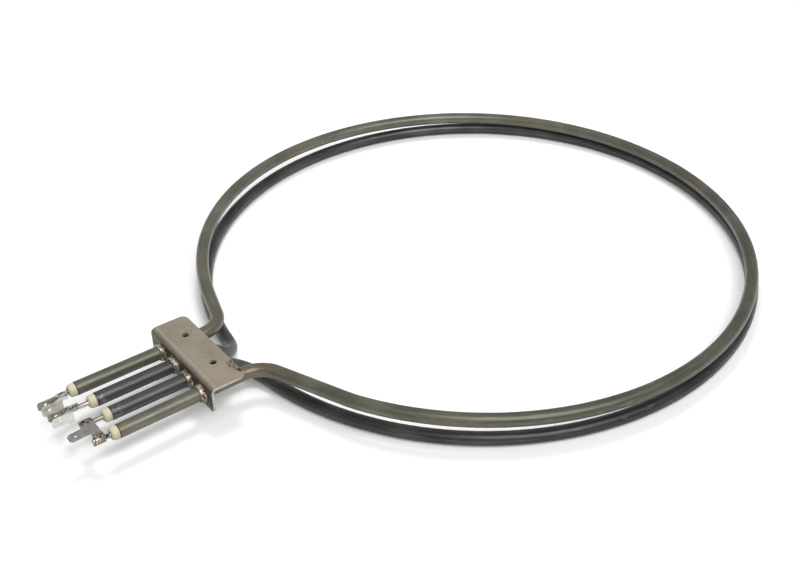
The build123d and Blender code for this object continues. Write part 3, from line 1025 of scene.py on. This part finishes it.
bridge_steel = tab_steel(
    "bridge strip",
    dull=(0.270, 0.280, 0.258),
    bright=(0.375, 0.387, 0.360),
    welds=[
        Vector((pin.x + 0.7 * mm, bridge_edge - bridge_width * share, bridge_top - weld_height))
        for pin in leg_places[2:]
        for share in (0.25, 0.75)
    ],
    reach=3.9 * mm,
    heat_tint=(0.27, 0.185, 0.140),
    melt_and_glint_tint=(0.66, 0.60, 0.52),
)
bridge.data.materials.append(bridge_steel)
bridge.data.materials.append(bridge_steel)
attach(bridge, "root")
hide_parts("bridge_tab")

# ---- insides of the heaters ----
# Packed white magnesia holds a coil of resistance wire in each sheath, and a brown resin
# seal keeps damp out behind each bead. They don't show, and keep their drawn shapes.


def grained(name, metallic, dark, light, scale, rough):
    """A plain finish between two colours and two roughnesses."""
    finish = new_finish(name)
    grain = pattern(finish, scale, 4.0)
    colour = blend(finish, spread(finish, grain, 0.3, 0.7), dark, light)
    roughness = spread(finish, grain, 0.3, 0.7, *rough)
    return surface(finish, metallic, colour, roughness, grain, 0.02 * mm)


wire = grained("resistance wire", 0.9, (0.20, 0.20, 0.20), (0.36, 0.35, 0.34), 900, (0.3, 0.45))
magnesia = grained(
    "packed magnesia", 0.0, (0.66, 0.65, 0.62), (0.80, 0.79, 0.76), 1500, (0.8, 0.95)
)
resin = grained("brown resin", 0.0, (0.10, 0.045, 0.02), (0.16, 0.075, 0.03), 500, (0.25, 0.4))
insides = {f"end_seal_{leg}": resin for leg in range(1, 5)}
for side in ("upper", "lower"):
    insides[f"{side}_coil"] = wire
    insides[f"{side}_insulation"] = magnesia
for node, finish in insides.items():
    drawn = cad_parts[node]
    drawn.data.materials.clear()
    drawn.data.materials.append(finish)

# ---- floor, light and camera ----
# The element lies on its lower ring on a white floor, between a small softbox on its left,
# which casts the shadows, and a wide one on its right.

floor_reach = 3.0
floor_gap = 0.02 * mm
floor_corners = []
under_ring = lower_ring.z - tube_radius - floor_gap
for x_side, y_side in ((-1, -1), (1, -1), (1, 1), (-1, 1)):
    x, y = x_side * floor_reach, y_side * floor_reach
    floor_corners.append((x, y, under_ring + tan(ring_lean) * (y - lower_ring.y)))
floor_mesh = bpy.data.meshes.new("floor")
floor_mesh.from_pydata(floor_corners, [], [(0, 1, 2, 3)])
floor = bpy.data.objects.new("floor", floor_mesh)
bpy.context.scene.collection.objects.link(floor)
floor_finish = new_finish("white paper")
nodes, links = floor_finish.node_tree.nodes, floor_finish.node_tree.links
shader = nodes["Principled BSDF"]
shader.inputs["Roughness"].default_value = 0.9
shader.inputs["Specular IOR Level"].default_value = 0.1
shader.inputs["Emission Color"].default_value = (1, 1, 1, 1)
path = nodes.new("ShaderNodeLightPath")
seen = nodes.new("ShaderNodeMath")
seen.operation = "MAXIMUM"
links.new(path.outputs["Is Camera Ray"], seen.inputs[0])
links.new(path.outputs["Is Glossy Ray"], seen.inputs[1])
shade = nodes.new("ShaderNodeMix")
shade.data_type = "RGBA"
shade.inputs[6].default_value = (0.40, 0.40, 0.40, 1.0)
shade.inputs[7].default_value = (1.0, 1.0, 1.0, 1.0)
links.new(seen.outputs[0], shade.inputs["Factor"])
links.new(shade.outputs[2], shader.inputs["Base Color"])
glow = nodes.new("ShaderNodeMath")
glow.operation = "MULTIPLY"
glow.inputs[1].default_value = 0.12
links.new(path.outputs["Is Camera Ray"], glow.inputs[0])
links.new(glow.outputs[0], shader.inputs["Emission Strength"])
floor.data.materials.append(floor_finish)

world_light = 0.34
scene = bpy.context.scene
world = bpy.data.worlds.new("studio")
scene.world = world
world.use_nodes = True
nodes, links = world.node_tree.nodes, world.node_tree.links
background = nodes["Background"]
path = nodes.new("ShaderNodeLightPath")
strength = nodes.new("ShaderNodeMapRange")
links.new(path.outputs["Is Camera Ray"], strength.inputs["Value"])
strength.inputs["To Min"].default_value = world_light
strength.inputs["To Max"].default_value = 1.0
links.new(strength.outputs["Result"], background.inputs["Strength"])
background.inputs["Color"].default_value = (1, 1, 1, 1)


def softbox(name, place, size, power):
    """A round softbox turned towards the element."""
    light = bpy.data.lights.new(name, "AREA")
    light.shape = "DISK"
    light.size = size
    light.energy = power
    holder = bpy.data.objects.new(name, light)
    scene.collection.objects.link(holder)
    holder.location = place
    aim = Vector((0.0, 0.12, 0.0)) - Vector(place)
    holder.rotation_euler = aim.to_track_quat("-Z", "Y").to_euler()
    return holder


left_softbox = softbox("left softbox", (-0.42, 0.36, 1.30), 0.45, 7.2)
left_softbox.visible_glossy = False
softbox("right softbox", (0.95, 0.0, 1.25), 1.4, 17.0)

picture_width = 800
focal_length_in_pixels = 1086.98
camera_data = bpy.data.cameras.new("camera")
camera_data.sensor_width = 36.0
camera_data.lens = focal_length_in_pixels / picture_width * camera_data.sensor_width
camera_data.clip_start = 0.01
camera_data.clip_end = 20
camera = bpy.data.objects.new("camera", camera_data)
scene.collection.objects.link(camera)
right = Vector((0.61363802, 0.7895532, -0.00735691))
up = Vector((-0.45144036, 0.35847175, 0.81712888))
back = right.cross(up).normalized()
turn = Matrix((right, up, back)).transposed().to_4x4()
camera.matrix_world = Matrix.Translation((0.44484302, -0.20099116, 0.37282115)) @ turn
scene.camera = camera
scene.view_settings.view_transform = "Standard"
